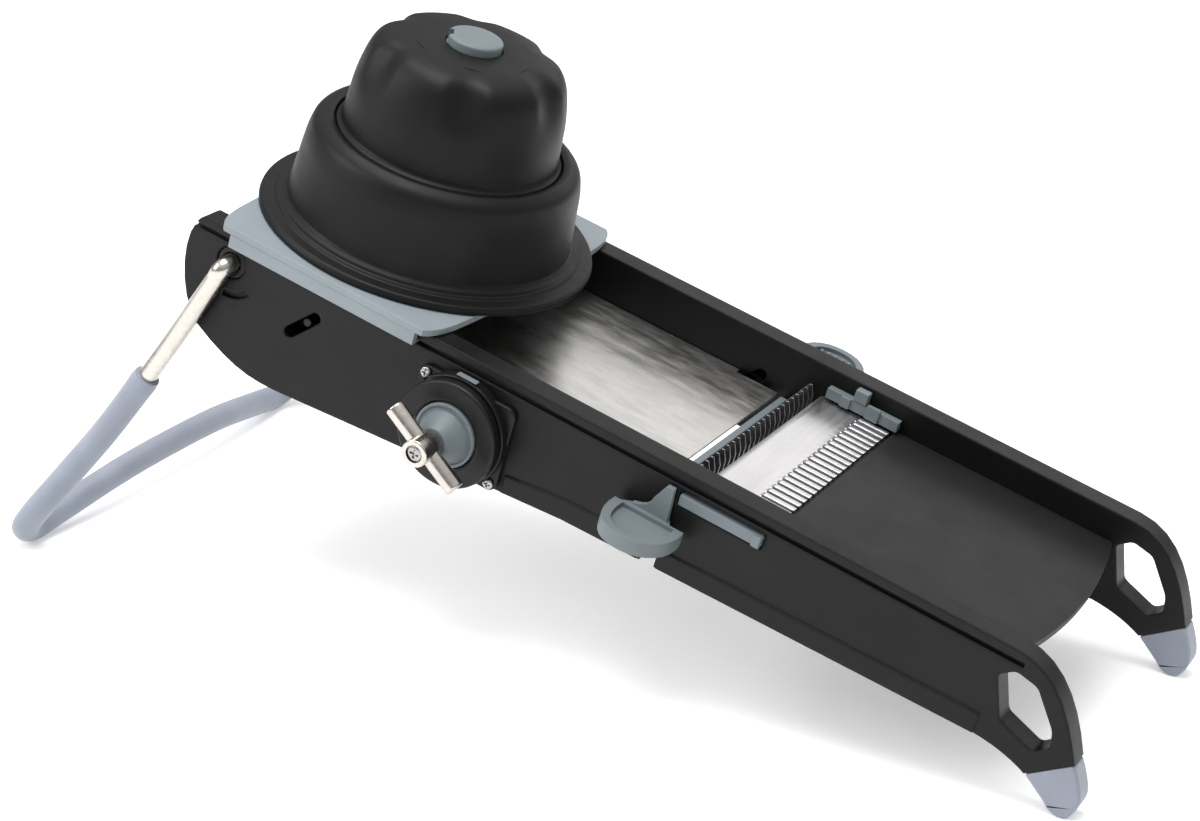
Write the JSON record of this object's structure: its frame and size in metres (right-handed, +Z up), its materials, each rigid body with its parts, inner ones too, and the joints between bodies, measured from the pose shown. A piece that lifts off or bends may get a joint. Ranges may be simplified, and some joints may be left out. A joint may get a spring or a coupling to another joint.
{
  "type": "mandoline slicer",
  "caption": "Mandoline slicer on a folding wire leg, with an adjustable ramp, cross blade, julienne comb, thickness dial and a sliding round food pusher.",
  "frame": {"origin": "centre of the slicer's bounding box in plan, on the surface that it stands on", "axes": "+X from the raised rear end to the front feet, -Y on the side of the thickness dial, +Z up"},
  "size_m": [0.4532, 0.198, 0.2227],
  "materials": {
    "black_plastic": "satin moulded black plastic, fine grain",
    "charcoal_plastic": "satin charcoal plastic",
    "carriage_plastic": "satin grey-blue plastic",
    "grey_plastic": "satin grey plastic",
    "silicone": "matt grey silicone rubber",
    "steel_sheet": "polished stainless sheet",
    "steel_rod": "bright polished stainless rod",
    "steel_fastener": "plated fasteners"
  },
  "bodies": {
    "frame": {"rail_dial_side": "black_plastic", "rail_latch_side": "black_plastic", "foot_tip_dial_side": "silicone", "foot_tip_latch_side": "silicone", "runout_bed": "charcoal_plastic", "rear_cross_member": "black_plastic", "escutcheon": "black_plastic", "dial_index_mark": "grey_plastic", "blade_guide": "grey_plastic", "leg_bush_dial_side": "black_plastic", "leg_bush_latch_side": "black_plastic", "member_screw_dial_side_1": "steel_fastener", "member_screw_dial_side_2": "steel_fastener", "member_screw_latch_side_1": "steel_fastener", "member_screw_latch_side_2": "steel_fastener", "escutcheon_screw_1": "steel_fastener", "escutcheon_screw_2": "steel_fastener"},
    "leg": {"leg_rod": "steel_rod", "leg_sleeve": "silicone"},
    "ramp": {"ramp_plate": "steel_sheet", "ramp_carrier": "black_plastic", "ramp_pin_dial_side": "steel_fastener", "ramp_pin_latch_side": "steel_fastener", "cam_follower_pin": "steel_fastener", "front_pin_latch_side": "steel_fastener"},
    "dial": {"dial_disc": "black_plastic", "dial_drum": "black_plastic", "dial_hub": "grey_plastic", "dial_t_bar": "steel_rod", "dial_t_bar_screw": "steel_fastener"},
    "comb": {"comb_holder": "grey_plastic", "julienne_comb": "steel_sheet", "thumb_tab_dial_side": "grey_plastic", "thumb_tab_latch_side": "grey_plastic"},
    "blade": {"slicing_blade": "steel_sheet", "blade_grip": "grey_plastic"},
    "catch": {"blade_catch": "grey_plastic"},
    "carriage": {"carriage_plate": "carriage_plastic", "food_sleeve": "black_plastic"},
    "pusher": {"pusher_body": "black_plastic", "prong_plate": "charcoal_plastic"},
    "button": {"pusher_button": "grey_plastic", "button_stem_clip": "steel_fastener", "button_spring": "steel_fastener"}
  },
  "joints": [
    {"name": "leg_fold", "type": "hinge", "parent": "frame", "child": "leg", "pos_m": [-0.13247, 0, 0.13371], "axis": [0, -1, 0], "range_deg": [0, 84]},
    {"name": "dial_turn", "type": "hinge", "parent": "frame", "child": "dial", "pos_m": [-0.02788, -0.075, 0.08987], "axis": [0, -1, 0], "range_deg": [-120, 240]},
    {"name": "ramp_lift", "type": "slide", "parent": "frame", "child": "ramp", "axis": [0.8361, 0, 0.5486], "range_m": [-0.004, 0.008]},
    {"name": "comb_lift", "type": "slide", "parent": "frame", "child": "comb", "axis": [0.2543, 0, 0.9671], "range_m": [-0.013, 0]},
    {"name": "blade_slide", "type": "slide", "parent": "frame", "child": "blade", "axis": [0, -1, 0], "range_m": [0, 0.124]},
    {"name": "catch_slide", "type": "slide", "parent": "frame", "child": "catch", "axis": [0.9671, 0, -0.2543], "range_m": [-0.004, 0]},
    {"name": "carriage_slide", "type": "slide", "parent": "frame", "child": "carriage", "axis": [0.9671, 0, -0.2543], "range_m": [-0.012, 0.235]},
    {"name": "pusher_slide", "type": "slide", "parent": "carriage", "child": "pusher", "axis": [0.2543, 0, 0.9671], "range_m": [0, 0.06]},
    {"name": "button_press", "type": "slide", "parent": "pusher", "child": "button", "axis": [-0.2543, 0, -0.9671], "range_m": [0, 0.003], "stiffness_N_per_m": 400, "springref_m": -0.004, "deforming": ["button_spring"]}
  ],
  "couplings": [
    {"joint": "dial_turn", "follows": "ramp_lift", "rad_per_m": 520}
  ]
}
